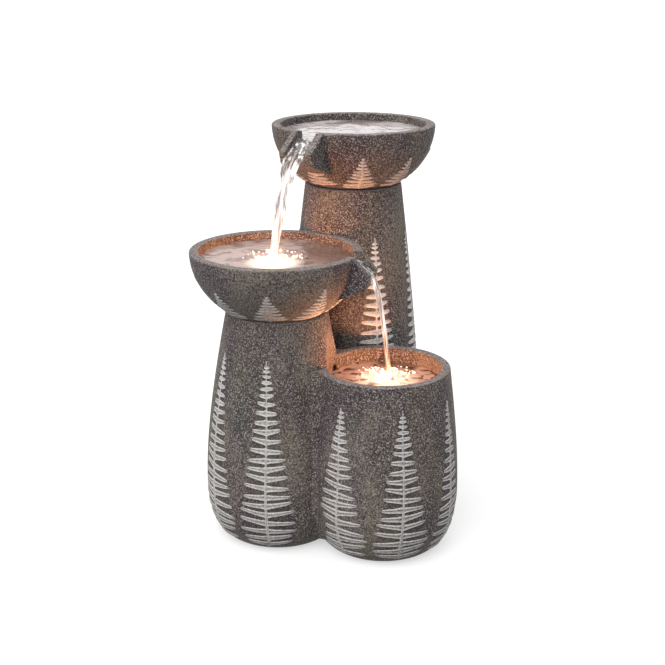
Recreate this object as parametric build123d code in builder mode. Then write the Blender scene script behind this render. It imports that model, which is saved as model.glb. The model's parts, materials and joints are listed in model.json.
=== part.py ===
from build123d import *
import os
from collections import namedtuple
from math import atan2, cos, degrees, hypot, radians, sin, sqrt, tan

# Three-tier pouring bowl fountain. Millimetres, +Z up, +X to the right, +Y to the rear.
# The origin is on the ground, in the middle of the plan.

# Plan: a rear column, a left column and a front pot
overall_width = 392
overall_depth = 442
rear_column_x = 42.5
left_column_y = -67.5

# Columns and pot, turned about upright axes. The bellies are shares of the depth, so they always meet.
foot_radius = 69
column_belly_share = 0.2455
column_belly_height = 81
neck_radius = 74.5
side_fullness = 0.5
neck_rounding = 3
pot_belly_share = 0.2511
pot_belly_height = 89
pot_rim_radius = 96
pot_rim_height = 276
pot_rim_wall = 13
rim_rounding = 2.5

# Castings: walls, webs between the turned bodies and the sump inside
casting_wall = 10
casting_floor = 12
core_radius = 40
core_height = 185
web_radius = 20
web_bite = 2
web_waist = 8
web_least_rise = 40
web_foot_height = 14
passage_width = 60
passage_floor = 48
passage_top = 112
basin_depth = 80
basin_wall = 12
basin_corner_radius = 20
basin_clear_height = 60

# Bowls
top_rim_height = 597
middle_rim_height = 439
bowl_rim_radius = 125
bowl_drop = 108
bowl_height = 88.5
bowl_wall = 14
bowl_floor = 14
locating_ring_depth = 12
locating_ring_wall = 9
locating_ring_clearance = 0.6
seat_ring_thickness = 2.5
sealant_thickness = 1.5
seat_inset = 1
seat_width = 4
nest_gap = 0.4

# Pouring lip of a bowl
channel_width = 34
cheek_thickness = 12
top_lip_reach = 28
middle_lip_reach = 20
cheek_fall = 27
crest_drop = 14
crest_setback = 6
crest_rounding = 20
lip_floor_drop = 38
lip_thickness = 6
lip_undercut = 4
lip_root_drop = 66
channel_rounding = 6
cheek_rounding = 3

# Rear access door, in a rebate of the rear column
door_width = 88
door_height = 104
door_centre_height = 165
door_corner_radius = 8
door_thickness = 4.5
door_ledge = 8
door_clearance = 0.5
seal_thickness = 1.5
seal_clearance = 0.3
knob_radius = 9
knob_neck_radius = 6
knob_neck_length = 5
knob_head_length = 8
knob_stud_radius = 3
knob_gap = 0.5

# Drain at the rear of the sump
drain_height = 30
drain_radius = 7
drain_spot_radius = 12.5
drain_spot_depth = 6
plug_flange_radius = 11
plug_flange_thickness = 4
plug_tab_width = 14
plug_tab_thickness = 4
plug_tab_length = 8
plug_overrun = 3
running_clearance = 0.05
slide_clearance = 0.1

# Overflow from the pot's basin into the left column
overflow_drop = 18
overflow_swing = 15
overflow_bore_radius = 4.5
overflow_bush_wall = 1.5
overflow_bush_overhang = 1

# Pump: stations run along +Y from the outlet's axis
pump_width = 44
pump_height = 42
pump_corner_radius = 5
pump_foot_height = 8
pump_foot_radius = 7
pump_foot_neck_radius = 3
motor_length = 38
foot_margin = 8
volute_radius = 19
volute_length = 17
volute_wall = 3
outlet_setback = 9
outlet_radius = 7
outlet_bore_radius = 5
outlet_rise = 16
chamber_radius = 15.5
magnet_radius = 8.6
magnet_clearance = 0.8
rotor_end_gap = 0.8
well_depth = 32
shaft_radius = 1.5
bush_radius = 3.5
bush_length = 4
fit_gap = 0.05
impeller_radius = 13.5
impeller_hub_radius = 4.5
impeller_length = 8
shroud_thickness = 1.5
blade_count = 6
blade_thickness = 1.4
inlet_hole_count = 4
inlet_hole_radius = 3.2
inlet_ring_radius = 10
strainer_wall = 1.8
strainer_reach = 16
slot_width = 3
slot_height = 26
slot_pitch = 6
shutter_radius = 14
shutter_thickness = 2
shutter_gap = 0.4
stem_radius = 6
dial_radius = 9
dial_length = 6
dial_gap = 1
pointer_width = 3
pointer_height = 2
gland_radius = 4
gland_height = 6
gland_setback = 9
gland_offset = 10

# Water riser and the fitting in the top bowl
riser_wall = 2
riser_overlap = 12
clip_thickness = 1.5
clip_height = 6
clip_rise = 3
fitting_radius = 14
fitting_tail = 16
fitting_flange_radius = 20
fitting_flange_thickness = 4
fitting_head_height = 16
fitting_bore_radius = 6.5
socket_clearance = 0.15
socket_spare = 2
jet_count = 6
jet_radius = 3.5
washer_thickness = 2
fitting_nut_radius = 22
fitting_nut_height = 8
floor_hole_clearance = 0.3

# Underwater lamps
lamp_radius = 19
lamp_height = 13
lamp_wall = 2.5
lamp_base = 3
lamp_stem_radius = 6
lamp_tail = 16
lamp_bore_radius = 2.5
lamp_nut_radius = 11
lamp_nut_height = 6
board_thickness = 1.6
chip_count = 6
chip_ring_radius = 9
chip_size = 4
chip_height = 1
lens_thickness = 4
bezel_height = 5
bezel_wall = 2
bezel_lip = 3

# Low-voltage inlet at the rear, above the door
inlet_height = 262
inlet_stem_radius = 8
inlet_tail = 12
inlet_flange_radius = 13
inlet_flange_thickness = 3
inlet_spot_depth = 3
inlet_spot_clearance = 1
inlet_seal_thickness = 1
inlet_nut_radius = 13
inlet_nut_height = 6
inlet_nut_gap = 2.5
socket_radius = 2.8
socket_depth = 10
socket_pin_radius = 0.9

# Leads inside the casting
lead_radius = 2
lead_pitch = 5

column_belly_radius = column_belly_share * overall_depth
pot_belly_radius = pot_belly_share * overall_depth
rear_axis = (rear_column_x, overall_depth / 2 - bowl_rim_radius)
left_axis = (bowl_rim_radius - overall_width / 2, left_column_y)
pot_axis = (overall_width / 2 - pot_belly_radius, pot_belly_radius - overall_depth / 2)
middle = tuple(sum(axis[i] for axis in (rear_axis, left_axis, pot_axis)) / 3 for i in range(2))

top_bowl_base = top_rim_height - bowl_height
middle_bowl_base = middle_rim_height - bowl_height
rear_column_top = top_bowl_base - seat_ring_thickness
left_column_top = middle_bowl_base - sealant_thickness
basin_radius = pot_rim_radius - pot_rim_wall
basin_floor = pot_rim_height - basin_depth
column_bore_radius = neck_radius - casting_wall
locating_ring_radius = column_bore_radius - locating_ring_clearance
door_recess_depth = door_thickness + seal_thickness + seal_clearance
rotor_height = casting_floor + pump_foot_height + pump_height / 2
volute_back = -outlet_setback
volute_front = volute_back + volute_length
motor_back = volute_back - motor_length
outlet_top = rotor_height + pump_height / 2 + outlet_rise
riser_bore_radius = outlet_radius + fit_gap
riser_radius = riser_bore_radius + riser_wall
riser_foot = outlet_top - riser_overlap
riser_top = top_bowl_base + bowl_floor - socket_spare

Turned = namedtuple("Turned", "axis foot belly belly_height neck top")
rear_column = Turned(
    rear_axis, foot_radius, column_belly_radius, column_belly_height, neck_radius, rear_column_top
)
left_column = rear_column._replace(axis=left_axis, top=left_column_top)
pot = Turned(pot_axis, foot_radius, pot_belly_radius, pot_belly_height, pot_rim_radius, pot_rim_height)


def heading_between(start, end):
    """Direction in plan from one axis to another, in degrees."""
    return degrees(atan2(end[1] - start[1], end[0] - start[0]))


def upright_plane(axis, heading):
    """Upright plane through an axis, with x along the heading and y up."""
    turn = radians(heading)
    return Plane(
        origin=(axis[0], axis[1], 0), x_dir=(cos(turn), sin(turn), 0), z_dir=(sin(turn), -cos(turn), 0)
    )


def level_plane(axis, height, heading=0.0):
    """Level plane with its origin on an axis and x along the heading."""
    turn = radians(heading)
    return Plane(origin=(axis[0], axis[1], height), x_dir=(cos(turn), sin(turn), 0), z_dir=(0, 0, 1))


def rear_plane(height, station=0.0):
    """Upright plane that faces the rear, at a station behind the rear column's axis."""
    return Plane(
        origin=(rear_axis[0], rear_axis[1] + station, height), x_dir=(-1, 0, 0), z_dir=(0, 1, 0)
    )


def turning_axis(axis):
    return Axis((axis[0], axis[1], 0), (0, 0, 1))


def inset(body, depth):
    """The same turned body with its side drawn in by a depth."""
    return body._replace(foot=body.foot - depth, belly=body.belly - depth, neck=body.neck - depth)


def radius_at(body, height):
    """Outside radius of a turned body at a height."""
    if height < body.belly_height:
        below = 1 - height / body.belly_height
        return body.foot + (body.belly - body.foot) * sqrt(1 - below**2)
    t = (height - body.belly_height) / (body.top - body.belly_height)
    fullness = (1 - t) ** 2 * (1 + 2 * t) + side_fullness * 3 * t**2 * (1 - t)
    return body.neck + (body.belly - body.neck) * fullness


def parting_height(first, second):
    """Height where two turned bodies part company above their bellies, or the lower one's top."""
    span = hypot(second.axis[0] - first.axis[0], second.axis[1] - first.axis[1])
    low = max(first.belly_height, second.belly_height)
    high = min(first.top, second.top)
    if radius_at(first, high) + radius_at(second, high) > span:
        return high
    while high - low > fit_gap:
        guess = (low + high) / 2
        if radius_at(first, guess) + radius_at(second, guess) > span:
            low = guess
        else:
            high = guess
    return low


def turned_outline(body, bottom=0.0, rounding=0.0):
    """Half section of a turned body: flat foot, rounded corner, belly and a side that leans in."""
    third = (body.top - body.belly_height) / 3
    shoulder = body.neck + side_fullness * (body.belly - body.neck)
    with BuildSketch(upright_plane(body.axis, heading_between(middle, body.axis))) as outline:
        with BuildLine():
            Line((0, bottom), (body.foot, bottom))
            EllipticalCenterArc(
                (body.foot, body.belly_height),
                body.belly - body.foot,
                body.belly_height - bottom,
                start_angle=270,
                arc_size=90,
            )
            Bezier(
                (body.belly, body.belly_height),
                (body.belly, body.belly_height + third),
                (shoulder, body.top - third),
                (body.neck, body.top),
            )
            Line((body.neck, body.top), (0, body.top))
            Line((0, body.top), (0, bottom))
        make_face()
        if rounding:
            fillet(outline.vertices().sort_by_distance((body.neck, body.top))[0], rounding)
    return outline.sketch


def flank_centre(near, far, span, flank):
    """Centre of a web's hollow flank, along and across the line between two turned bodies."""
    along = ((near + flank) ** 2 - (far + flank) ** 2 + span**2) / (2 * span)
    return along, sqrt(max((near + flank) ** 2 - along**2, 0))


def web_plan(first, second, height):
    """Plan of the web between two turned bodies at a height, with a hollow arc on each flank."""
    span = hypot(second.axis[0] - first.axis[0], second.axis[1] - first.axis[1])
    near = radius_at(first, height) - web_bite
    far = radius_at(second, height) - web_bite
    flank = web_radius
    along, across = flank_centre(near, far, span, flank)
    while across < flank + web_waist:
        flank += web_bite
        along, across = flank_centre(near, far, span, flank)
    near_share = near / (near + flank)
    far_share = far / (far + flank)
    near_end = (along * near_share, across * near_share)
    far_end = (span + (along - span) * far_share, across * far_share)
    heading = heading_between(first.axis, second.axis)
    with BuildSketch(level_plane(first.axis, height, heading)) as plan:
        with BuildLine():
            ThreePointArc(near_end, (along, across - flank), far_end)
            Line(far_end, (far_end[0], -far_end[1]))
            ThreePointArc(
                (far_end[0], -far_end[1]), (along, flank - across), (near_end[0], -near_end[1])
            )
            Line((near_end[0], -near_end[1]), near_end)
        make_face()
    return plan.sketch


def hex_nut(plane, radius, height, bore):
    """Hexagon nut that grows from a plane along its normal."""
    with BuildPart() as nut:
        with BuildSketch(plane):
            RegularPolygon(radius, 6)
            Circle(bore, mode=Mode.SUBTRACT)
        extrude(amount=height)
    return nut


def ring(plane, outer, inner, height):
    """Plain ring that grows from a plane along its normal."""
    with BuildPart() as band:
        with BuildSketch(plane):
            Circle(outer)
            Circle(inner, mode=Mode.SUBTRACT)
        extrude(amount=height)
    return band


# Basin of the pot: its hollow and the mass left round it
with BuildPart() as basin_hollow:
    with BuildSketch(upright_plane(pot_axis, 0)) as basin_section:
        with BuildLine():
            Line((0, basin_floor), (basin_radius - basin_corner_radius, basin_floor))
            JernArc(
                (basin_radius - basin_corner_radius, basin_floor), (1, 0), basin_corner_radius, 90
            )
            Line(
                (basin_radius, basin_floor + basin_corner_radius),
                (basin_radius, pot_rim_height - rim_rounding),
            )
            JernArc((basin_radius, pot_rim_height - rim_rounding), (0, 1), rim_rounding, -90)
            Line((basin_radius + rim_rounding, pot_rim_height), (basin_radius, pot_rim_height))
            Line((basin_radius, pot_rim_height), (basin_radius, pot_rim_height + basin_clear_height))
            Line(
                (basin_radius, pot_rim_height + basin_clear_height),
                (0, pot_rim_height + basin_clear_height),
            )
            Line((0, pot_rim_height + basin_clear_height), (0, basin_floor))
        make_face()
    revolve(axis=turning_axis(pot_axis))

with BuildPart() as basin_mass:
    with BuildSketch(level_plane(pot_axis, basin_floor - basin_wall)):
        Circle(basin_radius + basin_wall)
    extrude(amount=basin_depth + basin_clear_height + 2 * basin_wall)

# Sump: the hollow insides of the columns and the pot, joined by low passages
with BuildPart() as sump:
    for body in (rear_column, left_column):
        revolve(turned_outline(inset(body, casting_wall), casting_floor), axis=turning_axis(body.axis))
    add(basin_mass.part, mode=Mode.SUBTRACT)
    pot_hollow = inset(pot, casting_wall)._replace(top=basin_floor - basin_wall)
    revolve(turned_outline(pot_hollow, casting_floor), axis=turning_axis(pot_axis))
    for end in (left_axis, pot_axis):
        span = hypot(end[0] - rear_axis[0], end[1] - rear_axis[1])
        with BuildSketch(level_plane(rear_axis, passage_floor, heading_between(rear_axis, end))):
            Rectangle(span, passage_width, align=(Align.MIN, Align.CENTER))
        extrude(amount=passage_top - passage_floor)

# Rebate and opening of the rear door
door_reach = column_belly_radius + knob_neck_length
with BuildPart() as door_rebate:
    with BuildSketch(rear_plane(door_centre_height)):
        RectangleRounded(
            door_width + 2 * door_clearance, door_height + 2 * door_clearance, door_corner_radius
        )
    extrude(amount=door_reach)
    revolve(
        turned_outline(inset(rear_column, door_recess_depth)),
        axis=turning_axis(rear_axis),
        mode=Mode.SUBTRACT,
    )

drain_seat = radius_at(rear_column, drain_height) - drain_spot_depth
inlet_seat = radius_at(rear_column, inlet_height) - inlet_spot_depth

overflow_heading = radians(heading_between(pot_axis, left_axis) - overflow_swing)
overflow_plane = Plane(
    origin=(pot_axis[0], pot_axis[1], pot_rim_height - overflow_drop),
    x_dir=(0, 0, 1),
    z_dir=(cos(overflow_heading), sin(overflow_heading), 0),
)

# All that is left open in the castings: sump, basin, door, drain, inlet, lamp hole and overflow
with BuildPart() as hollows:
    for hollow in (sump, basin_hollow, door_rebate):
        add(hollow.part)
    with BuildSketch(rear_plane(door_centre_height, column_bore_radius)):
        RectangleRounded(door_width - 2 * door_ledge, door_height - 2 * door_ledge, door_corner_radius)
    extrude(amount=door_reach)
    for height, seat, spot, bore in (
        (drain_height, drain_seat, drain_spot_radius, drain_radius),
        (
            inlet_height,
            inlet_seat,
            inlet_flange_radius + inlet_spot_clearance,
            inlet_stem_radius + floor_hole_clearance,
        ),
    ):
        with BuildSketch(rear_plane(height, seat)):
            Circle(spot)
        extrude(amount=door_reach)
        with BuildSketch(rear_plane(height, column_bore_radius)):
            Circle(bore)
        extrude(amount=door_reach)
    with BuildSketch(level_plane(pot_axis, basin_floor)):
        Circle(lamp_stem_radius + floor_hole_clearance)
    extrude(amount=-2 * basin_wall)
    with BuildSketch(overflow_plane):
        Circle(overflow_bore_radius + overflow_bush_wall + fit_gap)
    extrude(amount=basin_radius + 2 * basin_wall)


def turned_body(body, rounding):
    """Solid turned body with a rounded upper edge."""
    with BuildPart() as turned:
        revolve(turned_outline(body, rounding=rounding), axis=turning_axis(body.axis))
    return turned.part


def casting_section(shape, neighbours):
    """One section of the castings: its own shape, less its neighbours and all the hollows."""
    with BuildPart() as section:
        add(shape)
        for neighbour in neighbours:
            add(neighbour, mode=Mode.SUBTRACT)
        add(hollows.part, mode=Mode.SUBTRACT)
    return section


pot_body = turned_body(pot, 0)
rear_body = turned_body(rear_column, neck_rounding)
left_body = turned_body(left_column, neck_rounding)
with BuildPart() as web_body:
    with BuildSketch(level_plane(middle, 0)):
        Circle(core_radius)
    extrude(amount=core_height)
    for first, second in ((rear_column, left_column), (rear_column, pot), (left_column, pot)):
        belly = max(first.belly_height, second.belly_height)
        top = max(parting_height(first, second), belly + web_least_rise)
        heights = (web_foot_height, (web_foot_height + belly) / 2, belly, (belly + top) / 2, top)
        loft([web_plan(first, second, height) for height in heights])
pot_casting = casting_section(turned_body(pot, rim_rounding), ())
rear_column_casting = casting_section(rear_body, (pot_body,))
left_column_casting = casting_section(left_body, (pot_body, rear_body))
web_casting = casting_section(web_body.part, (pot_body, rear_body, left_body))

overflow_bush = ring(
    overflow_plane.offset(basin_radius - overflow_bush_overhang),
    overflow_bore_radius + overflow_bush_wall,
    overflow_bore_radius,
    basin_wall + 2 * overflow_bush_overhang,
)


def make_bowl(axis, rim_height, heading, reach, floor_bore, neighbour=None):
    """Bowl with an elliptic wall and a pouring lip, relieved for a column beside it."""
    section_plane = upright_plane(axis, heading)
    base = rim_height - bowl_height
    floor = base + bowl_floor
    base_radius = bowl_rim_radius * sqrt(1 - (bowl_height / bowl_drop) ** 2)
    inner_radius = bowl_rim_radius - bowl_wall
    inner_drop = bowl_drop - bowl_wall
    inner_floor_radius = inner_radius * sqrt(1 - ((rim_height - floor) / inner_drop) ** 2)
    outer_start = degrees(atan2(bowl_height / bowl_drop, base_radius / bowl_rim_radius))
    inner_end = degrees(atan2((rim_height - floor) / inner_drop, inner_floor_radius / inner_radius))
    middle_radius = bowl_rim_radius - bowl_wall / 2
    middle_drop = bowl_drop - bowl_wall / 2
    root_radius = middle_radius * sqrt(1 - (lip_root_drop / middle_drop) ** 2)
    root_end = degrees(atan2(lip_root_drop / middle_drop, root_radius / middle_radius))
    tip = bowl_rim_radius + reach
    crest = bowl_rim_radius - crest_setback

    with BuildPart() as channel:
        with BuildSketch(section_plane) as channel_side:
            with BuildLine():
                Polyline(
                    (inner_radius / 2, rim_height + crest_drop),
                    (inner_radius / 2, rim_height - crest_drop),
                    (crest, rim_height - crest_drop),
                    (tip + lip_undercut, rim_height - lip_floor_drop),
                    (tip + lip_undercut, rim_height + crest_drop),
                    close=True,
                )
            make_face()
            crest_corner = channel_side.vertices().sort_by_distance((crest, rim_height - crest_drop))[0]
            fillet(crest_corner, crest_rounding)
        extrude(amount=channel_width / 2, both=True)
        sides = channel.faces().filter_by(Axis(section_plane.origin, section_plane.z_dir))
        low_edges = [
            edge
            for edge in sides.edges()
            if max(vertex.Z for vertex in edge.vertices()) < rim_height - crest_drop + fit_gap
        ]
        fillet(low_edges, channel_rounding)

    with BuildPart() as lip:
        with BuildSketch(section_plane):
            with BuildLine():
                EllipticalCenterArc(
                    (0, rim_height), middle_radius, middle_drop, start_angle=0, arc_size=-root_end
                )
                Polyline(
                    (root_radius, rim_height - lip_root_drop),
                    (tip - lip_undercut, rim_height - lip_floor_drop - lip_thickness),
                    (tip, rim_height - cheek_fall),
                    (bowl_rim_radius - rim_rounding, rim_height - rim_rounding / 2),
                    (middle_radius, rim_height - rim_rounding / 2),
                    (middle_radius, rim_height),
                )
            make_face()
        extrude(amount=channel_width / 2 + cheek_thickness, both=True)
        tip_edges = lip.edges().filter_by_position(
            Axis.Z, rim_height - lip_root_drop, rim_height - rim_rounding, inclusive=(False, False)
        )
        outside = [
            edge
            for edge in tip_edges
            if section_plane.to_local_coords(edge.center()).X > bowl_rim_radius
        ]
        fillet(outside, cheek_rounding)
        add(channel.part, mode=Mode.SUBTRACT)

    with BuildPart() as bowl:
        with BuildSketch(section_plane) as wall_section:
            with BuildLine():
                Line((0, base), (base_radius, base))
                EllipticalCenterArc(
                    (0, rim_height), bowl_rim_radius, bowl_drop,
                    start_angle=-outer_start, arc_size=outer_start,
                )
                Line((bowl_rim_radius, rim_height), (inner_radius, rim_height))
                EllipticalCenterArc(
                    (0, rim_height), inner_radius, inner_drop, start_angle=0, arc_size=-inner_end
                )
                Line((inner_floor_radius, floor), (0, floor))
                Line((0, floor), (0, base))
            make_face()
            fillet(wall_section.vertices().group_by(Axis.Z)[-1], rim_rounding)
        revolve(axis=turning_axis(axis))
        add(channel.part, mode=Mode.SUBTRACT)
        add(lip.part)
        if neighbour:
            revolve(
                turned_outline(inset(neighbour, -nest_gap)),
                axis=turning_axis(neighbour.axis),
                mode=Mode.SUBTRACT,
            )
        with BuildSketch(level_plane(axis, base)):
            Circle(floor_bore)
        extrude(amount=bowl_floor, mode=Mode.SUBTRACT)
    return bowl


top_bowl = make_bowl(
    rear_axis,
    top_rim_height,
    heading_between(rear_axis, left_axis),
    top_lip_reach,
    fitting_radius + floor_hole_clearance,
)
middle_bowl = make_bowl(
    left_axis,
    middle_rim_height,
    heading_between(left_axis, pot_axis),
    middle_lip_reach,
    lamp_stem_radius + floor_hole_clearance,
    rear_column,
)

seat_inner = column_bore_radius + seat_inset
top_bowl_seat_ring = ring(
    level_plane(rear_axis, rear_column_top), seat_inner + seat_width, seat_inner, seat_ring_thickness
)
bowl_locating_ring = ring(
    level_plane(rear_axis, rear_column_top - locating_ring_depth),
    locating_ring_radius,
    locating_ring_radius - locating_ring_wall,
    seat_ring_thickness + locating_ring_depth,
)
middle_bowl_sealant = ring(
    level_plane(left_axis, left_column_top), seat_inner + seat_width, seat_inner, sealant_thickness
)

# Rear door, its seal and its knob
with BuildPart() as access_door:
    with BuildSketch(rear_plane(door_centre_height)):
        RectangleRounded(door_width, door_height, door_corner_radius - door_clearance)
    extrude(amount=door_reach)
    revolve(
        turned_outline(inset(rear_column, door_thickness)),
        axis=turning_axis(rear_axis),
        mode=Mode.SUBTRACT,
    )
    revolve(turned_outline(rear_column), axis=turning_axis(rear_axis), mode=Mode.INTERSECT)
    with BuildSketch(rear_plane(door_centre_height)):
        Circle(knob_stud_radius + fit_gap)
    extrude(amount=door_reach, mode=Mode.SUBTRACT)

with BuildPart() as door_seal:
    with BuildSketch(rear_plane(door_centre_height)):
        RectangleRounded(door_width, door_height, door_corner_radius - door_clearance)
        RectangleRounded(
            door_width - 2 * door_ledge + 2 * door_clearance,
            door_height - 2 * door_ledge + 2 * door_clearance,
            door_corner_radius,
            mode=Mode.SUBTRACT,
        )
    extrude(amount=door_reach)
    revolve(
        turned_outline(inset(rear_column, door_recess_depth - fit_gap)),
        axis=turning_axis(rear_axis),
        mode=Mode.SUBTRACT,
    )
    revolve(
        turned_outline(inset(rear_column, door_thickness + seal_clearance)),
        axis=turning_axis(rear_axis),
        mode=Mode.INTERSECT,
    )

knob_seat = radius_at(rear_column, door_centre_height) + knob_gap
with BuildPart() as door_knob:
    with BuildSketch(rear_plane(door_centre_height, knob_seat - 2 * door_thickness)):
        Circle(knob_stud_radius)
    extrude(amount=2 * door_thickness)
    with BuildSketch(rear_plane(door_centre_height, knob_seat)):
        Circle(knob_neck_radius)
    extrude(amount=knob_neck_length)
    with BuildSketch(rear_plane(door_centre_height, knob_seat + knob_neck_length)):
        Circle(knob_radius)
    extrude(amount=knob_head_length)
    fillet(door_knob.faces().sort_by(Axis.Y)[-1].edges(), knob_head_length / 3)

with BuildPart() as drain_plug:
    with BuildSketch(rear_plane(drain_height, drain_seat + slide_clearance)):
        Circle(plug_flange_radius)
    extrude(amount=plug_flange_thickness)
    with BuildSketch(rear_plane(drain_height, drain_seat + slide_clearance)):
        Circle(drain_radius - slide_clearance)
    extrude(amount=-(drain_spot_depth + plug_overrun))
    with BuildSketch(rear_plane(drain_height, drain_seat + plug_flange_thickness)):
        Rectangle(plug_tab_width, plug_tab_thickness)
    extrude(amount=plug_tab_length)

# Pump, rotor axis along Y, outlet on the rear column's axis
with BuildPart() as pump_motor:
    with BuildSketch(rear_plane(rotor_height, motor_back)):
        RectangleRounded(pump_width, pump_height, pump_corner_radius)
    extrude(amount=motor_length)
    with BuildSketch(rear_plane(rotor_height, volute_back)):
        Circle(magnet_radius + magnet_clearance)
    extrude(amount=-well_depth, mode=Mode.SUBTRACT)
    with BuildSketch(rear_plane(rotor_height, volute_back)):
        Circle(bush_radius + fit_gap)
    extrude(amount=-(well_depth + bush_length), mode=Mode.SUBTRACT)
    with BuildSketch(Plane.XY.offset(rotor_height + pump_height / 2)):
        with Locations((rear_axis[0] - gland_offset, rear_axis[1] + motor_back + gland_setback)):
            Circle(gland_radius)
    extrude(amount=gland_height)

with BuildPart() as pump_volute:
    with BuildSketch(rear_plane(rotor_height, volute_back)):
        Circle(volute_radius)
    extrude(amount=volute_length)
    with BuildSketch(level_plane(rear_axis, rotor_height)):
        Circle(outlet_radius)
    extrude(amount=outlet_top - rotor_height)
    with BuildSketch(rear_plane(rotor_height, volute_back + volute_wall)):
        Circle(chamber_radius)
    extrude(amount=volute_length - 2 * volute_wall, mode=Mode.SUBTRACT)
    with BuildSketch(rear_plane(rotor_height, volute_back)):
        Circle(magnet_radius + magnet_clearance)
    extrude(amount=volute_wall, mode=Mode.SUBTRACT)
    with BuildSketch(level_plane(rear_axis, rotor_height)):
        Circle(outlet_bore_radius)
    extrude(amount=outlet_top - rotor_height, mode=Mode.SUBTRACT)
    with BuildSketch(rear_plane(rotor_height, volute_front - volute_wall)):
        Circle(bush_radius + fit_gap)
        with PolarLocations(inlet_ring_radius, inlet_hole_count):
            Circle(inlet_hole_radius)
    extrude(amount=volute_wall, mode=Mode.SUBTRACT)

magnet_back = volute_back - well_depth + rotor_end_gap
impeller_back = volute_back + volute_wall + rotor_end_gap
with BuildPart() as pump_rotor:
    with BuildSketch(rear_plane(rotor_height, magnet_back)):
        Circle(magnet_radius)
        Circle(shaft_radius + running_clearance, mode=Mode.SUBTRACT)
    extrude(amount=impeller_back - magnet_back)

with BuildPart() as pump_impeller:
    with BuildSketch(rear_plane(rotor_height, impeller_back)):
        Circle(impeller_radius)
    extrude(amount=shroud_thickness)
    with BuildSketch(rear_plane(rotor_height, impeller_back)):
        Circle(impeller_hub_radius)
        with PolarLocations(0, blade_count):
            Rectangle(impeller_radius, blade_thickness, align=(Align.MIN, Align.CENTER))
    extrude(amount=impeller_length)
    with BuildSketch(rear_plane(rotor_height, impeller_back)):
        Circle(shaft_radius + running_clearance)
    extrude(amount=impeller_length, mode=Mode.SUBTRACT)

bush_back = volute_back - well_depth - bush_length
with BuildPart() as rotor_shaft:
    with BuildSketch(rear_plane(rotor_height, bush_back)):
        Circle(shaft_radius)
    extrude(amount=volute_front - bush_back)

with BuildPart() as rotor_bushes:
    for station, length in ((bush_back, bush_length), (volute_front - volute_wall, volute_wall)):
        with BuildSketch(rear_plane(rotor_height, station)):
            Circle(bush_radius)
            Circle(shaft_radius + fit_gap, mode=Mode.SUBTRACT)
        extrude(amount=length)

strainer_front = volute_front + strainer_reach
with BuildPart() as pump_strainer:
    with BuildSketch(rear_plane(rotor_height, volute_back)):
        RectangleRounded(pump_width, pump_height, pump_corner_radius)
    extrude(amount=strainer_front - volute_back)
    with BuildSketch(rear_plane(rotor_height, volute_back)):
        RectangleRounded(
            pump_width - 2 * strainer_wall,
            pump_height - 2 * strainer_wall,
            pump_corner_radius - strainer_wall,
        )
    extrude(amount=strainer_front - volute_back - strainer_wall, mode=Mode.SUBTRACT)
    with BuildSketch(level_plane(rear_axis, rotor_height)):
        Circle(outlet_radius + fit_gap)
    extrude(amount=pump_height, mode=Mode.SUBTRACT)
    with BuildSketch(rear_plane(rotor_height, strainer_front - strainer_wall)):
        Circle(stem_radius + running_clearance)
        for side in (-1, 1):
            for step in (1, 2):
                with Locations((side * (stem_radius + (step - 0.5) * slot_pitch), 0)):
                    SlotOverall(slot_height, slot_width, rotation=90)
    extrude(amount=strainer_wall, mode=Mode.SUBTRACT)

shutter_back = volute_front + shutter_gap
with BuildPart() as flow_regulator:
    with BuildSketch(rear_plane(rotor_height, shutter_back)):
        Circle(shutter_radius)
        with PolarLocations(inlet_ring_radius, inlet_hole_count):
            Circle(inlet_hole_radius, mode=Mode.SUBTRACT)
    extrude(amount=shutter_thickness)
    with BuildSketch(rear_plane(rotor_height, shutter_back)):
        Circle(stem_radius)
    extrude(amount=strainer_front + dial_gap - shutter_back)
    with BuildSketch(rear_plane(rotor_height, strainer_front + dial_gap)):
        Circle(dial_radius)
    extrude(amount=dial_length)
    with BuildSketch(rear_plane(rotor_height, strainer_front + dial_gap + dial_length)):
        Rectangle(pointer_width, dial_radius, align=(Align.CENTER, Align.MIN))
    extrude(amount=pointer_height)

with BuildPart() as pump_feet:
    for side in (-1, 1):
        for station in (motor_back + foot_margin, volute_back - foot_margin):
            foot_axis = (
                rear_axis[0] + side * (pump_width / 2 - foot_margin),
                rear_axis[1] + station,
            )
            with BuildSketch(level_plane(foot_axis, casting_floor)):
                Circle(pump_foot_radius)
            with BuildSketch(level_plane(foot_axis, casting_floor + pump_foot_height)):
                Circle(pump_foot_neck_radius)
            loft()

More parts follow.
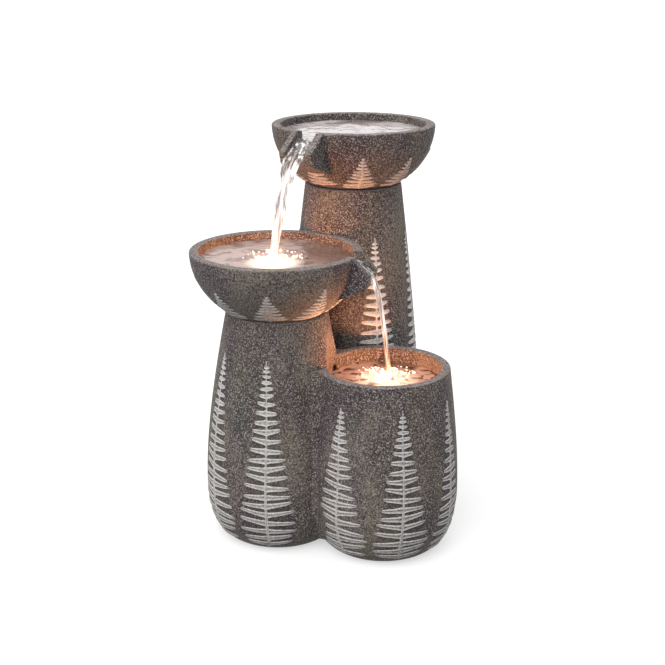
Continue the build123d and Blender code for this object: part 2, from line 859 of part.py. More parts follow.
# Water path to the top bowl
riser_tube = ring(
    level_plane(rear_axis, riser_foot), riser_radius, riser_bore_radius, riser_top - riser_foot
)
riser_clip = ring(
    level_plane(rear_axis, riser_foot + clip_rise),
    riser_radius + fit_gap + clip_thickness,
    riser_radius + fit_gap,
    clip_height,
)
top_bowl_floor = top_bowl_base + bowl_floor
flange_foot = top_bowl_floor + washer_thickness
head_foot = flange_foot + fitting_flange_thickness
with BuildPart() as bowl_inlet_fitting:
    with BuildSketch(level_plane(rear_axis, top_bowl_base - fitting_tail)):
        Circle(fitting_radius)
    extrude(amount=head_foot + fitting_head_height - top_bowl_base + fitting_tail)
    with BuildSketch(level_plane(rear_axis, flange_foot)):
        Circle(fitting_flange_radius)
    extrude(amount=fitting_flange_thickness)
    with BuildSketch(level_plane(rear_axis, top_bowl_base - fitting_tail)):
        Circle(riser_radius + socket_clearance)
    extrude(amount=riser_top + socket_spare - top_bowl_base + fitting_tail, mode=Mode.SUBTRACT)
    with BuildSketch(level_plane(rear_axis, riser_top)):
        Circle(fitting_bore_radius)
    extrude(amount=head_foot + fitting_head_height / 2 + jet_radius - riser_top, mode=Mode.SUBTRACT)
    for jet in range(jet_count):
        heading = radians(360 * jet / jet_count)
        jet_plane = Plane(
            origin=(rear_axis[0], rear_axis[1], head_foot + fitting_head_height / 2),
            x_dir=(0, 0, 1),
            z_dir=(cos(heading), sin(heading), 0),
        )
        with BuildSketch(jet_plane):
            Circle(jet_radius)
        extrude(amount=fitting_flange_radius, mode=Mode.SUBTRACT)
bowl_inlet_washer = ring(
    level_plane(rear_axis, top_bowl_floor), fitting_flange_radius, fitting_radius + fit_gap, washer_thickness
)
bowl_inlet_nut = hex_nut(
    level_plane(rear_axis, top_bowl_base - fitting_nut_height),
    fitting_nut_radius,
    fitting_nut_height,
    fitting_radius + fit_gap,
)


def make_lamp(axis, floor, floor_thickness):
    """Underwater lamp bolted through a floor: housing, board, lens, bezel, washer and nut."""
    seat = floor + washer_thickness
    rim = seat + lamp_height
    cup_radius = lamp_radius - lamp_wall
    stem_foot = floor - floor_thickness - lamp_tail
    with BuildPart() as housing:
        with BuildSketch(level_plane(axis, seat)):
            Circle(lamp_radius)
        extrude(amount=lamp_height)
        with BuildSketch(level_plane(axis, seat + lamp_base)):
            Circle(cup_radius)
        extrude(amount=lamp_height, mode=Mode.SUBTRACT)
        with BuildSketch(level_plane(axis, stem_foot)):
            Circle(lamp_stem_radius)
        extrude(amount=seat - stem_foot)
        with BuildSketch(level_plane(axis, seat)):
            Circle(lamp_bore_radius)
        extrude(amount=lamp_base, both=True, mode=Mode.SUBTRACT)
    with BuildPart() as board:
        with BuildSketch(level_plane(axis, seat + lamp_base)):
            Circle(cup_radius - fit_gap)
        extrude(amount=board_thickness)
        with BuildSketch(level_plane(axis, seat + lamp_base + board_thickness)):
            with PolarLocations(chip_ring_radius, chip_count):
                Rectangle(chip_size, chip_size)
        extrude(amount=chip_height)
    with BuildPart() as lens:
        with BuildSketch(level_plane(axis, rim)):
            Circle(lamp_radius)
        extrude(amount=lens_thickness)
    with BuildPart() as bezel:
        with BuildSketch(level_plane(axis, rim - bezel_height)):
            Circle(lamp_radius + fit_gap + bezel_wall)
        extrude(amount=bezel_height + lens_thickness + bezel_wall)
        with BuildSketch(level_plane(axis, rim - bezel_height)):
            Circle(lamp_radius + fit_gap)
        extrude(amount=bezel_height + lens_thickness, mode=Mode.SUBTRACT)
        with BuildSketch(level_plane(axis, rim)):
            Circle(lamp_radius - bezel_lip)
        extrude(amount=lens_thickness + bezel_wall, mode=Mode.SUBTRACT)
    return {
        "housing": housing,
        "board": board,
        "lens": lens,
        "bezel": bezel,
        "washer": ring(level_plane(axis, floor), lamp_radius, lamp_stem_radius + fit_gap, washer_thickness),
        "nut": hex_nut(
            level_plane(axis, floor - floor_thickness - lamp_nut_height),
            lamp_nut_radius,
            lamp_nut_height,
            lamp_stem_radius + fit_gap,
        ),
    }


lamps = {
    "middle_light": make_lamp(left_axis, middle_bowl_base + bowl_floor, bowl_floor),
    "pot_light": make_lamp(pot_axis, basin_floor, basin_wall),
}

# Low-voltage inlet through the rear wall
inlet_flange_seat = inlet_seat + inlet_seal_thickness
inlet_wall_inside = radius_at(inset(rear_column, casting_wall), inlet_height)
inlet_back = inlet_wall_inside - inlet_nut_gap - inlet_nut_height - inlet_tail
with BuildPart() as power_inlet:
    with BuildSketch(rear_plane(inlet_height, inlet_flange_seat)):
        Circle(inlet_flange_radius)
    extrude(amount=inlet_flange_thickness)
    with BuildSketch(rear_plane(inlet_height, inlet_back)):
        Circle(inlet_stem_radius)
    extrude(amount=inlet_flange_seat - inlet_back)
    with BuildSketch(rear_plane(inlet_height, inlet_flange_seat + inlet_flange_thickness)):
        Circle(socket_radius)
        Circle(socket_pin_radius, mode=Mode.SUBTRACT)
    extrude(amount=-socket_depth, mode=Mode.SUBTRACT)
power_inlet_seal = ring(
    rear_plane(inlet_height, inlet_seat),
    inlet_flange_radius,
    inlet_stem_radius + fit_gap,
    inlet_seal_thickness,
)
power_inlet_nut = hex_nut(
    rear_plane(inlet_height, inlet_back + inlet_tail),
    inlet_nut_radius,
    inlet_nut_height,
    inlet_stem_radius + fit_gap,
)


def lead_radii(points):
    """Largest even bends of a lead: 0.45 of the shorter run over the tangent of half the turn."""
    runs = [Vector(end) - Vector(start) for start, end in zip(points, points[1:])]
    return [
        0.45 * min(before.length, after.length) / tan(radians(before.get_angle(after)) / 2)
        for before, after in zip(runs, runs[1:])
    ]


def make_lead(name, points):
    """Round lead along straight runs and tangent arcs."""
    radii = lead_radii(points)
    print(name, "bend radii", [round(radius) for radius in radii])
    with BuildPart() as lead:
        with BuildLine() as route:
            FilletPolyline(*points, radius=radii)
        start = Vector(points[0])
        with BuildSketch(Plane(origin=start, z_dir=Vector(points[1]) - start)):
            Circle(lead_radius)
        sweep(path=route.line)
    return lead


def from_axis(axis, *offsets):
    """Points given as offsets from an axis in plan, with their heights."""
    return [(axis[0] + x, axis[1] + y, z) for x, y, z in offsets]


gland_top = rotor_height + pump_height / 2 + gland_height
gland_y = motor_back + gland_setback
pump_lead_points = from_axis(
    rear_axis,
    (0, inlet_back, inlet_height),
    (0, inlet_back - 22, inlet_height),
    (-22, inlet_back - 46, inlet_height - 24),
    (-40, inlet_back - 66, inlet_height - 56),
    (-46, inlet_back - 88, inlet_height - 96),
    (-38, inlet_back - 106, inlet_height - 136),
    (-18, gland_y - 2, inlet_height - 162),
    (-gland_offset, gland_y, gland_top + 12),
    (-gland_offset, gland_y, gland_top),
)
middle_stem_foot = middle_bowl_base - lamp_tail
middle_lead_points = from_axis(
    rear_axis,
    (-lead_pitch, inlet_back, inlet_height),
    (-lead_pitch, inlet_back - 18, inlet_height),
    (-34, inlet_back - 36, inlet_height - 14),
    (-58, inlet_back - 58, inlet_height - 48),
    (-66, inlet_back - 88, inlet_height - 96),
    (-62, inlet_back - 118, inlet_height - 138),
    (-62, inlet_back - 152, inlet_height - 162),
) + from_axis(
    left_axis,
    (30, 42, 90),
    (10, 16, 104),
    (2, 2, 140),
    (-2, 2, 196),
    (2, -1, 256),
    (0, 0, middle_stem_foot - 24),
    (0, 0, middle_stem_foot),
)
pot_stem_foot = basin_floor - basin_wall - lamp_tail
pot_lead_points = from_axis(
    rear_axis,
    (lead_pitch, inlet_back, inlet_height),
    (lead_pitch, inlet_back - 18, inlet_height),
    (34, inlet_back - 36, inlet_height - 14),
    (56, inlet_back - 60, inlet_height - 50),
    (58, inlet_back - 92, inlet_height - 98),
    (44, inlet_back - 126, inlet_height - 140),
    (24, inlet_back - 164, inlet_height - 164),
) + from_axis(
    pot_axis,
    (-14, 72, 86),
    (-8, 36, 82),
    (-2, 10, 98),
    (0, 0, pot_stem_foot - 26),
    (0, 0, pot_stem_foot),
)
pump_lead = make_lead("pump_lead", pump_lead_points)
middle_light_lead = make_lead("middle_light_lead", middle_lead_points)
pot_light_lead = make_lead("pot_light_lead", pot_lead_points)

pieces = {
    "rear_column_casting": rear_column_casting,
    "left_column_casting": left_column_casting,
    "pot_casting": pot_casting,
    "web_casting": web_casting,
    "top_bowl": top_bowl,
    "middle_bowl": middle_bowl,
    "top_bowl_seat_ring": top_bowl_seat_ring,
    "bowl_locating_ring": bowl_locating_ring,
    "middle_bowl_sealant": middle_bowl_sealant,
    "access_door": access_door,
    "door_seal": door_seal,
    "door_knob": door_knob,
    "drain_plug": drain_plug,
    "overflow_bush": overflow_bush,
    "pump_motor": pump_motor,
    "pump_volute": pump_volute,
    "pump_strainer": pump_strainer,
    "pump_rotor": pump_rotor,
    "pump_impeller": pump_impeller,
    "rotor_shaft": rotor_shaft,
    "rotor_bushes": rotor_bushes,
    "flow_regulator": flow_regulator,
    "pump_feet": pump_feet,
    "riser_tube": riser_tube,
    "riser_clip": riser_clip,
    "bowl_inlet_fitting": bowl_inlet_fitting,
    "bowl_inlet_washer": bowl_inlet_washer,
    "bowl_inlet_nut": bowl_inlet_nut,
    "power_inlet": power_inlet,
    "power_inlet_seal": power_inlet_seal,
    "power_inlet_nut": power_inlet_nut,
    "pump_lead": pump_lead,
    "middle_light_lead": middle_light_lead,
    "pot_light_lead": pot_light_lead,
}
for lamp_name, lamp in lamps.items():
    for piece_name, piece in lamp.items():
        pieces[f"{lamp_name}_{piece_name}"] = piece

os.makedirs("parts", exist_ok=True)
for name, piece in pieces.items():
    piece.part.label = name
    export_step(piece.part, f"parts/{name}.step")
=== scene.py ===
"""Looks of the pouring bowl fountain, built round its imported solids.

Metres, +Z up, +X to the right and +Y to the rear, as the photograph sees it.
"""

import json
import math
import random

import bmesh
import bpy
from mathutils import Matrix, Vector, noise
from mathutils.bvhtree import BVHTree


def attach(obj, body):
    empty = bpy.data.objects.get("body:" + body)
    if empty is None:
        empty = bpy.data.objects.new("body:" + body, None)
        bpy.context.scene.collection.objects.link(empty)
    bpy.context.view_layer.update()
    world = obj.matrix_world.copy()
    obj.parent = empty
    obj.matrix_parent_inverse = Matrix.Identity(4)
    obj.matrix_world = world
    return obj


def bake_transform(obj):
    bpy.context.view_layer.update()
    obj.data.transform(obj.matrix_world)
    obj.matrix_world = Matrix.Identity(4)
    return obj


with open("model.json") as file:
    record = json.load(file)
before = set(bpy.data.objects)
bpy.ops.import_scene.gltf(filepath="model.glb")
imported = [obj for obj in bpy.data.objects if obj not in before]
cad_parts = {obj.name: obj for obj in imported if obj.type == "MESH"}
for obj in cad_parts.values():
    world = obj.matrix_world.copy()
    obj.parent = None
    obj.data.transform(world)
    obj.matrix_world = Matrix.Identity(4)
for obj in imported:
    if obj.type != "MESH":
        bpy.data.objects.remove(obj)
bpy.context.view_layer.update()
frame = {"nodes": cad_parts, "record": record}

MM = 0.001
UP = Vector((0, 0, 1))
MERGE_DISTANCE = 1e-6

# Upright axes of the rear column, the left column and the pot, the levels of their water, and how far
# from its bowl's axis each lip ends
REAR_AXIS = Vector((42.5, 96, 0)) * MM
LEFT_AXIS = Vector((-71, -67.5, 0)) * MM
POT_AXIS = Vector((85, -110, 0)) * MM
TOP_LEVEL = 586 * MM
MIDDLE_LEVEL = 428 * MM
POT_LEVEL = 254 * MM
TOP_LIP_TIP = 152 * MM
MIDDLE_LIP_TIP = 144 * MM


def linear(code):
    """Linear colour of an sRGB hex value."""
    parts = [int(code[start:start + 2], 16) / 255 for start in (1, 3, 5)]
    return [part / 12.92 if part <= 0.04045 else ((part + 0.055) / 1.055) ** 2.4 for part in parts] + [1.0]


def add_node(material, kind, inputs=None, **settings):
    """Adds one shader node with its settings, its values and its links."""
    tree = material.node_tree
    node = tree.nodes.new("ShaderNode" + kind)
    for name, value in settings.items():
        setattr(node, name, value)
    for socket, value in (inputs or {}).items():
        if isinstance(value, bpy.types.NodeSocket):
            tree.links.new(value, node.inputs[socket])
        else:
            node.inputs[socket].default_value = value
    return node


def new_material(name, **values):
    """Material with a single Principled shader, which takes the values that are the same all over."""
    material = bpy.data.materials.new(name)
    material.use_nodes = True
    shader = material.node_tree.nodes["Principled BSDF"]
    for socket, value in values.items():
        shader.inputs[socket.replace("_", " ")].default_value = value
    return material, shader.inputs


def drive(material, sockets, **sources):
    """Links a shader's sockets to the nodes that drive them."""
    for socket, source in sources.items():
        material.node_tree.links.new(source, sockets[socket.replace("_", " ")])


def cast_stone():
    # Cast stone: a gritty cement skin stained in upright zones of brown, plum and moss grey, paler
    # where it faces up, with painted shade where it faces down, and darker in the hollows of the ferns.
    # It is then dry-brushed, which leaves flecks on the grit, patches where the brush was dragged, and
    # silver on the raised leaflets. The grit is drawn coarse enough to show.
    material, shader = new_material("dry_brushed_cast_stone")
    place = add_node(material, "TexCoord").outputs["Object"]
    normal = add_node(material, "NewGeometry").outputs["Normal"]
    upward = add_node(material, "SeparateXYZ", {0: normal}).outputs["Z"]
    brush = add_node(material, "Attribute", attribute_name="brush").outputs["Fac"]

    # Size of each pattern's spots in millimetres, its detail, its upright scale (below 1 draws the
    # spots out) and a shift that sets it apart from the others
    pattern = {}
    for name, size, detail, upright, shift in (
        ("grit", 3.2, 2.0, 1.0, 0.0),
        ("fine_grit", 2.0, 1.0, 1.0, 0.4),
        ("zones", 52, 2.0, 0.2, 0.0),
        ("moss", 45, 3.0, 0.3, 0.31),
        ("patches", 75, 2.0, 0.5, 0.9),
        ("strokes", 2.6, 2.0, 0.6, 0.2),
    ):
        at = add_node(
            material,
            "Mapping",
            {"Vector": place, "Location": (shift, shift, shift), "Scale": (1, 1, upright)},
        ).outputs[0]
        pattern[name] = add_node(
            material,
            "TexNoise",
            {"Vector": at, "Scale": 1 / (size * MM), "Detail": detail, "Roughness": 0.6},
        ).outputs[0]

    # What each share is read from, the two values it runs between and what it gives at each
    share = {}
    for name, source, low, high, least, most in (
        ("plum", pattern["zones"], 0.4, 0.55, 0.0, 1.0),
        ("moss", pattern["moss"], 0.52, 0.68, 0.0, 0.5),
        # Paler where the surface faces up
        ("paleness_facing_up", upward, 0.45, 0.9, 0.0, 0.7),
        ("grit_tone", pattern["grit"], 0.36, 0.64, 0.2, 1.8),
        # Painted shade: darker where the surface faces down
        ("painted_underside_shade", upward, -0.6, 0.0, 0.7, 1.0),
        ("flecks", pattern["fine_grit"], 0.54, 0.64, 0.0, 0.6),
        ("patches", pattern["patches"], 0.45, 0.6, 0.0, 1.0),
        ("strokes", pattern["strokes"], 0.42, 0.6, 0.0, 0.5),
        ("wash", brush, 0.0, -1.0, 0.0, 1.0),
        ("silver_grain", pattern["grit"], 0.3, 0.55, 0.55, 1.0),
        ("roughness", pattern["grit"], 0.0, 1.0, 0.95, 0.6),
    ):
        share[name] = add_node(
            material,
            "MapRange",
            {"Value": source, "From Min": low, "From Max": high, "To Min": least, "To Max": most},
        ).outputs[0]

    # Tone of the grit times the painted shade under downward faces
    grit_and_painted_shade = add_node(
        material, "Math", {0: share["grit_tone"], 1: share["painted_underside_shade"]}, operation="MULTIPLY"
    ).outputs[0]
    dragged = add_node(
        material, "Math", {0: share["patches"], 1: share["strokes"]}, operation="MULTIPLY"
    ).outputs[0]
    silver = add_node(
        material, "Math", {0: brush, 1: share["silver_grain"]}, operation="MULTIPLY", use_clamp=True
    ).outputs[0]
    base_tints = ((share["plum"], "#271b22"), (share["moss"], "#343830"), (share["paleness_facing_up"], "#7d7371"))
    paints = (
        (share["flecks"], "#a59d97"), (dragged, "#7c7468"), (share["wash"], "#1b1718"), (silver, "#efedeb"),
    )
    colour = linear("#3a322a")
    for amount, shade in base_tints:
        colour = add_node(
            material, "Mix", {0: amount, 6: colour, 7: linear(shade)}, data_type="RGBA"
        ).outputs[2]
    colour = add_node(material, "VectorMath", {0: colour, "Scale": grit_and_painted_shade}, operation="SCALE").outputs[0]
    for amount, shade in paints:
        colour = add_node(
            material, "Mix", {0: amount, 6: colour, 7: linear(shade)}, data_type="RGBA"
        ).outputs[2]
    relief = add_node(
        material, "Bump", {"Height": pattern["grit"], "Strength": 0.7, "Distance": 1.0 * MM}
    ).outputs[0]
    drive(material, shader, Base_Color=colour, Roughness=share["roughness"], Normal=relief)
    return material


def moulded(name, light, dark, grain, roughness, relief, **values):
    """Finish with a fine grain: two near shades, a varied roughness and a shallow relief, in millimetres."""
    material, shader = new_material(name, **values)
    place = add_node(material, "TexCoord").outputs["Object"]
    texture = add_node(
        material, "TexNoise", {"Vector": place, "Scale": 1 / (grain * MM), "Detail": 3.0}
    ).outputs[0]
    shade = add_node(material, "MapRange", {"Value": texture, "From Min": 0.3, "From Max": 0.7}).outputs[0]
    colour = add_node(
        material, "Mix", {0: shade, 6: linear(dark), 7: linear(light)}, data_type="RGBA"
    ).outputs[2]
    gloss = add_node(
        material, "MapRange", {"Value": texture, "To Min": roughness - 0.1, "To Max": roughness + 0.1}
    ).outputs[0]
    bump = add_node(
        material, "Bump", {"Height": texture, "Strength": 0.4, "Distance": relief * MM}
    ).outputs[0]
    drive(material, shader, Base_Color=colour, Roughness=gloss, Normal=bump)
    return material


def water(name, pale, dark, ripple, glow_centre, glow_reach, glow_strength, mirror_centre, mirror_reach):
    """Moving water: glossy and rippled, its colour painted with reflections (pale and darker in the ripples
    from the surround, brown where a casting mirrors in it) and a painted glow where the lamp lights it from
    below.
    """
    material, shader = new_material(
        name, Roughness=0.06, IOR=1.33, Transmission_Weight=0.3, Emission_Color=linear("#ffe9c9")
    )
    place = add_node(material, "TexCoord").outputs["Object"]
    wave = add_node(
        material,
        "TexNoise",
        {"Vector": place, "Scale": 1 / (ripple * MM), "Detail": 2.0, "Distortion": 0.6},
    ).outputs[0]
    # Painted reflection of the surround: pale water, darker in the ripples
    ripple_reflection = add_node(material, "MapRange", {"Value": wave, "From Min": 0.36, "From Max": 0.5}).outputs[0]
    surface = add_node(
        material, "Mix", {0: ripple_reflection, 6: linear(dark), 7: linear(pale)}, data_type="RGBA"
    ).outputs[2]
    aside = add_node(
        material, "VectorMath", {0: place, 1: mirror_centre}, operation="DISTANCE"
    ).outputs["Value"]
    mirrored = add_node(
        material,
        "MapRange",
        {"Value": aside, "From Min": mirror_reach, "From Max": 0.35 * mirror_reach, "To Max": 0.75},
        interpolation_type="SMOOTHSTEP",
    ).outputs[0]
    colour = add_node(
        material, "Mix", {0: mirrored, 6: surface, 7: linear("#6b4a3d")}, data_type="RGBA"
    ).outputs[2]
    away = add_node(
        material, "VectorMath", {0: place, 1: glow_centre}, operation="DISTANCE"
    ).outputs["Value"]
    glow = add_node(
        material,
        "MapRange",
        {"Value": away, "From Min": glow_reach, "From Max": 0.2 * glow_reach, "To Max": glow_strength},
        interpolation_type="SMOOTHSTEP",
    ).outputs[0]
    broken = add_node(
        material,
        "MapRange",
        {"Value": wave, "From Min": 0.3, "From Max": 0.6, "To Min": 0.5, "To Max": 1.2},
    ).outputs[0]
    light = add_node(material, "Math", {0: glow, 1: broken}, operation="MULTIPLY").outputs[0]
    bump = add_node(material, "Bump", {"Height": wave, "Strength": 0.5, "Distance": 1.5 * MM}).outputs[0]
    drive(material, shader, Base_Color=colour, Emission_Strength=light, Normal=bump)
    return material


def falling_water(name, clear, glint):
    """Falling water: glassy strands drawn out along the fall, whitened by the air in them, with painted
    glints that glow on the brightest strands.
    """
    material, shader = new_material(
        name, Roughness=0.05, IOR=1.25, Transmission_Weight=clear, Emission_Color=linear("#ffffff")
    )
    place = add_node(material, "TexCoord").outputs["Object"]
    drawn = add_node(material, "Mapping", {"Vector": place, "Scale": (1, 1, 0.07)}).outputs[0]
    strand = add_node(
        material, "TexNoise", {"Vector": drawn, "Scale": 1 / (6 * MM), "Detail": 2.0}
    ).outputs[0]
    white = add_node(material, "MapRange", {"Value": strand, "From Min": 0.38, "From Max": 0.56}).outputs[0]
    colour = add_node(
        material, "Mix", {0: white, 6: linear("#aaa6a3"), 7: linear("#ffffff")}, data_type="RGBA"
    ).outputs[2]
    # Painted glints: the brightest strands glow
    light = add_node(
        material, "MapRange", {"Value": strand, "From Min": 0.52, "From Max": 0.66, "To Max": glint}
    ).outputs[0]
    bump = add_node(material, "Bump", {"Height": strand, "Strength": 0.6, "Distance": 2 * MM}).outputs[0]
    drive(material, shader, Base_Color=colour, Emission_Strength=light, Normal=bump)
    return material


STONE = cast_stone()
SHEET_WATER = falling_water("falling_sheet", clear=0.95, glint=0.15)
STRAND_WATER = falling_water("falling_strands", clear=0.5, glint=0.35)
LIP_WATER = falling_water("sliding_water", clear=0.97, glint=0.4)
# Each water's pale and dark shades are a painted reflection of what stands round it, its mirror centre a
# painted brown reflection of a casting and its glow centre a painted glow of the lamp below
TOP_WATER = water(
    "top_bowl_water", "#ddd4d4", "#a89da0", ripple=26,
    glow_centre=REAR_AXIS + Vector((0, 0, TOP_LEVEL)), glow_reach=40 * MM, glow_strength=0.0,
    mirror_centre=REAR_AXIS + Vector((20 * MM, 110 * MM, TOP_LEVEL)), mirror_reach=60 * MM,
)
MIDDLE_WATER = water(
    "middle_bowl_water", "#b9a9a2", "#8d7d77", ripple=28,
    glow_centre=LEFT_AXIS + Vector((-3 * MM, -36 * MM, MIDDLE_LEVEL)), glow_reach=46 * MM, glow_strength=1.5,
    mirror_centre=LEFT_AXIS + Vector((100 * MM, 30 * MM, MIDDLE_LEVEL)), mirror_reach=110 * MM,
)
POT_WATER = water(
    "pot_water", "#d6b09a", "#70432d", ripple=15,
    glow_centre=POT_AXIS + Vector((2 * MM, 0, POT_LEVEL)), glow_reach=58 * MM, glow_strength=0.7,
    mirror_centre=POT_AXIS + Vector((30 * MM, 90 * MM, POT_LEVEL)), mirror_reach=60 * MM,
)
# Aerated foam: bubbles and drops thrown up where a stream lands, white all through, with a faint painted
# glow for the lamp light scattered in it.
FOAM = moulded(
    "aerated_foam", "#ffffff", "#efe8e0", 6, 0.25, 0.3,
    Emission_Color=linear("#fff4e2"), Emission_Strength=0.35,
)

SLOT_FINISHES = {
    "cast_stone": STONE,
    # Moulded rubber: matte, near black, with a faint bloom.
    "black_rubber": moulded("moulded_rubber", "#232323", "#141414", 3, 0.7, 0.1),
    # Silicone sealant: satin skin, tooled by hand, the grey of the casting.
    "grey_sealant": moulded("silicone_sealant", "#5c5650", "#4a443f", 9, 0.5, 0.3),
    # ABS with a fine spark texture.
    "black_plastic": moulded("moulded_abs_black", "#262729", "#191a1b", 1.5, 0.5, 0.06),
    # ABS coloured right through, a little glossier.
    "blue_plastic": moulded("moulded_abs_blue", "#2c62a6", "#234f87", 1.5, 0.42, 0.06),
    # Plasticised PVC hose: soft clear wall, slightly milky.
    "clear_vinyl": moulded("clear_pvc_hose", "#dfe6e4", "#c9d2d0", 8, 0.25, 0.1, Transmission_Weight=0.7),
    # Sintered ferrite magnet: dark, dull and fine-grained.
    "ferrite": moulded("sintered_ferrite", "#3a3a3d", "#2a2a2c", 2, 0.55, 0.05),
    # Alumina, ground and polished: ivory with a soft gloss.
    "ceramic_pin": moulded("alumina_ceramic", "#f1eee7", "#e3ded4", 2, 0.3, 0.02),
    # Stainless steel, brushed in the lathe.
    "steel": moulded("brushed_stainless_steel", "#c9c9c6", "#a8a8a6", 2.5, 0.32, 0.05, Metallic=1.0),
    # Polycarbonate, moulded clear and bright with the lamp behind it.
    "clear_lens": moulded(
        "polycarbonate_lens", "#fff3d8", "#f7e2b8", 4, 0.2, 0.05,
        Transmission_Weight=0.6, Emission_Color=linear("#ffd79a"), Emission_Strength=4.0,
    ),
    # Circuit board under a warm phosphor, which is the light itself.
    "lamp_board": moulded(
        "lit_led_board", "#fff0cc", "#ffe0a4", 3, 0.4, 0.05,
        Emission_Color=linear("#ffcf8a"), Emission_Strength=6.0,
    ),
    # Extruded PVC sheath: black with a satin gloss.
    "lead_sheath": moulded("flexible_pvc_sheath", "#1f2022", "#151617", 4, 0.55, 0.08),
}

for part in frame["record"]["subparts"]:
    node = frame["nodes"][part["node"]]
    node.data.materials.clear()
    node.data.materials.append(SLOT_FINISHES[part["material_slot"]])


def finish_piece(name, bm, material, body=None, wall=0.0, shadow=True):
    """Turns a bmesh into a piece with its material, its wall and the body it moves with."""
    mesh = bpy.data.meshes.new(name)
    bm.to_mesh(mesh)
    bm.free()
    mesh.polygons.foreach_set("use_smooth", [True] * len(mesh.polygons))
    mesh.materials.append(material)
    piece = bpy.data.objects.new(name, mesh)
    piece.visible_shadow = shadow
    bpy.context.scene.collection.objects.link(piece)
    if wall:
        shell = piece.modifiers.new("wall", "SOLIDIFY")
        shell.thickness = wall
        shell.offset = -1
    if body:
        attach(piece, body)
    return piece


def solid_tree(node):
    """Search tree of a CAD node's surface."""
    mesh = frame["nodes"][node].data
    return BVHTree.FromPolygons([v.co for v in mesh.vertices], [p.vertices for p in mesh.polygons])


def smooth(value):
    """Smooth step from 0 to 1."""
    value = min(max(value, 0.0), 1.0)
    return value * value * (3 - 2 * value)


def outward(azimuth):
    """Level direction at an azimuth in degrees, from the front towards +X."""
    turn = math.radians(azimuth)
    return Vector((math.sin(turn), -math.cos(turn), 0))


class TurnedSide:
    """Side of a turned piece, read off its solid by level rays: radius and height along its run."""

    STEPS = 90
    REACH = 0.3

    def __init__(self, node, axis, azimuth, low, high):
        self.tree = solid_tree(node)
        self.axis = axis
        way = outward(azimuth)
        self.points = []
        for step in range(self.STEPS + 1):
            start = axis + way * self.REACH
            start.z = (low + (high - low) * step / self.STEPS) * MM
            hit = self.tree.ray_cast(start, -way)[0]
            self.points.append(Vector(((hit - axis).xy.length, hit.z)))
        self.runs = [0.0]
        for first, second in zip(self.points, self.points[1:]):
            self.runs.append(self.runs[-1] + (second - first).length)

    def place(self, azimuth, run, across, height):
        """Point on the side at a run, shifted across it and raised off it, and the way out."""
        run = min(max(run, 0.0), self.runs[-1])
        last = len(self.runs) - 2
        index = next((i for i in range(last + 1) if self.runs[i + 1] >= run), last)
        first, second = self.points[index], self.points[index + 1]
        share = (run - self.runs[index]) / (self.runs[index + 1] - self.runs[index])
        radius, level = first.lerp(second, share)
        lean = (second - first).normalized()
        way = outward(azimuth + math.degrees(across / radius))
        normal = way * lean.y + Vector((0, 0, -lean.x))
        return self.axis + way * radius + Vector((0, 0, level)) + normal * height, normal

    def run_at(self, height):
        """Run along the side at a height in millimetres."""
        return next(run for run, point in zip(self.runs, self.points) if point.y >= height * MM - 1e-6)


# Cross-section of a leaflet or stem from its lower to its upper edge: place across it, height in
# millimetres, and paint left on it, where None is the paint of the fern's inner faces
SECTION_LINES = (-1.0, -0.7, 0.1, 0.7, 1.0)
SECTION_HEIGHTS = (-0.6, 1.5, 0.7, 1.3, -0.6)
LEAFLET_PAINT = (0.0, 1.0, None, 0.55, 0.0)
STEM_PAINT = (0.0, 0.65, None, 0.65, 0.0)
LAST_LINE = len(SECTION_LINES) - 1
RELIEF_WALL = 1.6 * MM

# A leaflet: its mean rise and its sway in degrees, the flare of its root, the taper of its tip, how
# deep the tip sinks in millimetres and how much paint the tip loses
LEAFLET_STEPS = 5
LEAFLET_RISE = 4
LEAFLET_SWAY = 6
SWAY_TURN = 2.4
ROOT_FLARE = 0.5
TIP_TAPER = 0.92
TIP_SINK = 0.3
TIP_PAINT_LOSS = 0.3
LENGTH_SPREAD = (0.95, 1.03)
THICKNESS_SPREAD = (0.54, 0.64)

# A frond: shares of its length where it starts, is widest and narrows to its foot, the leaflets over
# which their pitch opens, and the share at the tip that is brushed brighter
FIRST_LEAFLET = 0.03
TIP_BLUNTNESS = 0.06
WIDEST_SHARE = 0.92
FOOT_SHARE = 0.86
OPENING_LEAFLETS = 7
BRIGHT_SHARE = 0.4
BRIGHT_PAINT = 0.3

# A stem: its width in millimetres at tip and foot, how much it weaves and how often, its lift over
# the leaflets in millimetres and its extra paint
STEM_STEPS = 40
STEM_TIP_WIDTH = 0.7
STEM_FOOT_WIDTH = 2.6
STEM_WEAVE = (0.6, 1.3)
STEM_WAVES = 9
STEM_LIFT = 0.2
STEM_EXTRA_PAINT = 0.15

# The wash under a frond: its faces, how far it passes the leaflets, its height and its edge's drop in
# millimetres, and its darkness
WASH_STEPS = 36
WASH_LINES = 8
WASH_REACH = 1.06
WASH_HEIGHT = 0.35
WASH_DROP = 0.7
WASH_DARKNESS = 0.45

# How near a leaflet may come to a neighbour, and how far its own surface may be from where it should lie
PROBE = 6 * MM
TOUCH = 1.2 * MM


